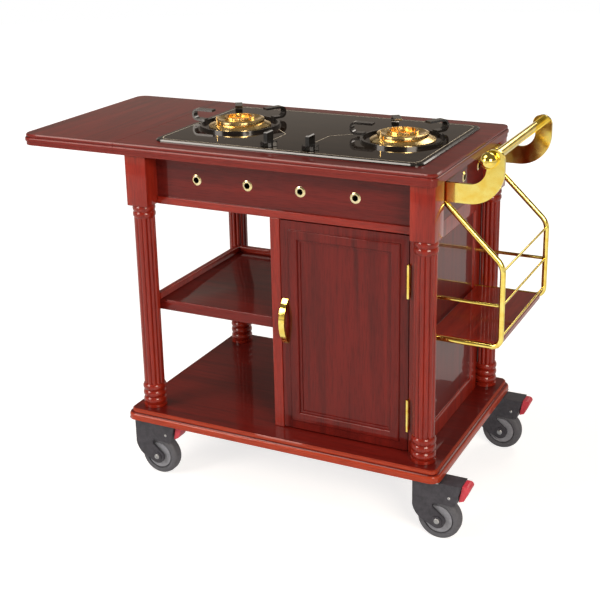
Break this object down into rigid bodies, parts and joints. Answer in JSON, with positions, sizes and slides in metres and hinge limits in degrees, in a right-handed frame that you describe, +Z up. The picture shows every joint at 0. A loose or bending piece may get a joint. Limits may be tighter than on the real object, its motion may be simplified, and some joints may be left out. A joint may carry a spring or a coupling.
{
  "type": "room service trolley",
  "caption": "Wooden service trolley with a gas hob, folding side leaf, cupboard, open shelf, bottle rack, push handle and braked swivel castors.",
  "frame": {"origin": "on the floor under the middle of the bounding box", "axes": "+Z up, +X towards the push handle, -Y towards the door side"},
  "size_m": [1.1792, 0.552, 0.886],
  "materials": {
    "mahogany": "semi-gloss lacquer",
    "brass": "polished",
    "black_enamel": "matt enamel",
    "hob_glass": "gloss",
    "steel": "brushed",
    "castor_paint": "satin",
    "wheel_grey": "matt",
    "knob_black": "gloss",
    "pedal_red": "satin"
  },
  "bodies": {
    "carcass": {"top_board": "mahogany", "base_board": "mahogany", "corner_posts": "mahogany", "front_apron": "mahogany", "right_apron": "mahogany", "left_apron": "mahogany", "back_apron": "mahogany", "front_rail": "mahogany", "cupboard_divider": "mahogany", "cupboard_back": "mahogany", "hob_deck": "mahogany", "corner_stile": "mahogany", "side_frame": "mahogany", "side_field": "mahogany", "tray_shelf": "mahogany", "tray_gallery": "mahogany", "door_catch": "mahogany", "rack_shelf": "mahogany", "vent_eyelets": "brass", "door_hinge_stile_leaves": "brass", "hinge_pins": "brass", "leaf_hinge_top_leaves": "brass", "stay_apron_brackets": "brass", "handle_brackets": "brass", "handle_bar": "brass", "rack_frame_front": "brass", "rack_frame_back": "brass", "rack_rods": "brass", "burner_feet": "brass", "burner_heads": "brass", "hob_rim": "black_enamel", "hob_glass": "hob_glass", "burner_box": "steel", "gas_taps": "steel", "castor_plates": "steel"},
    "leaf": {"leaf_board": "mahogany", "leaf_hinge_drop_leaves": "brass", "stay_leaf_tabs": "brass"},
    "stay_upper": {"stay_upper_links": "brass"},
    "stay_lower": {"stay_lower_links": "brass"},
    "door": {"door_frame": "mahogany", "door_panel": "mahogany", "door_pull": "brass", "door_hinge_door_leaves": "brass"},
    "knob_left": {"knob_left": "knob_black"},
    "knob_right": {"knob_right": "knob_black"},
    "support_left": {"pan_support_left": "black_enamel"},
    "support_right": {"pan_support_right": "black_enamel"},
    "castor_front_left": {"castor_fork_front_left": "castor_paint"},
    "wheel_front_left": {"castor_wheel_front_left": "wheel_grey"},
    "pedal_front_left": {"castor_pedal_front_left": "pedal_red"},
    "castor_front_right": {"castor_fork_front_right": "castor_paint"},
    "wheel_front_right": {"castor_wheel_front_right": "wheel_grey"},
    "pedal_front_right": {"castor_pedal_front_right": "pedal_red"},
    "castor_back_left": {"castor_fork_back_left": "castor_paint"},
    "wheel_back_left": {"castor_wheel_back_left": "wheel_grey"},
    "pedal_back_left": {"castor_pedal_back_left": "pedal_red"},
    "castor_back_right": {"castor_fork_back_right": "castor_paint"},
    "wheel_back_right": {"castor_wheel_back_right": "wheel_grey"},
    "pedal_back_right": {"castor_pedal_back_right": "pedal_red"}
  },
  "joints": [
    {"name": "leaf_fold", "type": "hinge", "parent": "carcass", "child": "leaf", "pos_m": [-0.32512, 0, 0.809], "axis": [0, -1, 0], "range_deg": [0, 90]},
    {"name": "stay_lower_fold", "type": "hinge", "parent": "carcass", "child": "stay_lower", "pos_m": [-0.27363, 0, 0.691], "axis": [0, 1, 0], "range_deg": [0, 46]},
    {"name": "stay_upper_fold", "type": "hinge", "parent": "leaf", "child": "stay_upper", "pos_m": [-0.44312, 0, 0.8], "axis": [0, -1, 0], "range_deg": [0, 21]},
    {"name": "door_swing", "type": "hinge", "parent": "carcass", "child": "door", "pos_m": [0.38738, -0.2125, 0.445], "axis": [0, 0, 1], "range_deg": [0, 110]},
    {"name": "knob_left_turn", "type": "hinge", "parent": "carcass", "child": "knob_left", "pos_m": [0.03637, -0.173, 0.85], "axis": [0, 0, 1], "range_deg": [0, 200]},
    {"name": "knob_right_turn", "type": "hinge", "parent": "carcass", "child": "knob_right", "pos_m": [0.13937, -0.173, 0.85], "axis": [0, 0, 1], "range_deg": [0, 200]},
    {"name": "support_left_lift", "type": "slide", "parent": "carcass", "child": "support_left", "axis": [0, 0, 1], "range_m": [0, 0.04]},
    {"name": "support_right_lift", "type": "slide", "parent": "carcass", "child": "support_right", "axis": [0, 0, 1], "range_m": [0, 0.04]},
    {"name": "swivel_front_left", "type": "hinge", "parent": "carcass", "child": "castor_front_left", "pos_m": [-0.28763, -0.235, 0.141], "axis": [0, 0, 1], "continuous": true},
    {"name": "roll_front_left", "type": "hinge", "parent": "castor_front_left", "child": "wheel_front_left", "pos_m": [-0.25462, -0.235, 0.05], "axis": [0, 1, 0], "continuous": true},
    {"name": "brake_front_left", "type": "hinge", "parent": "castor_front_left", "child": "pedal_front_left", "pos_m": [-0.22762, -0.235, 0.112], "axis": [0, 1, 0], "range_deg": [0, 18]},
    {"name": "swivel_front_right", "type": "hinge", "parent": "carcass", "child": "castor_front_right", "pos_m": [0.44438, -0.235, 0.141], "axis": [0, 0, 1], "continuous": true},
    {"name": "roll_front_right", "type": "hinge", "parent": "castor_front_right", "child": "wheel_front_right", "pos_m": [0.47737, -0.235, 0.05], "axis": [0, 1, 0], "continuous": true},
    {"name": "brake_front_right", "type": "hinge", "parent": "castor_front_right", "child": "pedal_front_right", "pos_m": [0.50438, -0.235, 0.112], "axis": [0, 1, 0], "range_deg": [0, 18]},
    {"name": "swivel_back_left", "type": "hinge", "parent": "carcass", "child": "castor_back_left", "pos_m": [-0.28763, 0.235, 0.141], "axis": [0, 0, 1], "continuous": true},
    {"name": "roll_back_left", "type": "hinge", "parent": "castor_back_left", "child": "wheel_back_left", "pos_m": [-0.25462, 0.235, 0.05], "axis": [0, 1, 0], "continuous": true},
    {"name": "brake_back_left", "type": "hinge", "parent": "castor_back_left", "child": "pedal_back_left", "pos_m": [-0.22762, 0.235, 0.112], "axis": [0, 1, 0], "range_deg": [0, 18]},
    {"name": "swivel_back_right", "type": "hinge", "parent": "carcass", "child": "castor_back_right", "pos_m": [0.44438, 0.235, 0.141], "axis": [0, 0, 1], "continuous": true},
    {"name": "roll_back_right", "type": "hinge", "parent": "castor_back_right", "child": "wheel_back_right", "pos_m": [0.47737, 0.235, 0.05], "axis": [0, 1, 0], "continuous": true},
    {"name": "brake_back_right", "type": "hinge", "parent": "castor_back_right", "child": "pedal_back_right", "pos_m": [0.50438, 0.235, 0.112], "axis": [0, 1, 0], "range_deg": [0, 18]}
  ],
  "couplings": [
    {"joint": "stay_lower_fold", "follows": "leaf_fold", "ratio": 0.5009},
    {"joint": "stay_upper_fold", "follows": "leaf_fold", "ratio": 0.2286}
  ]
}
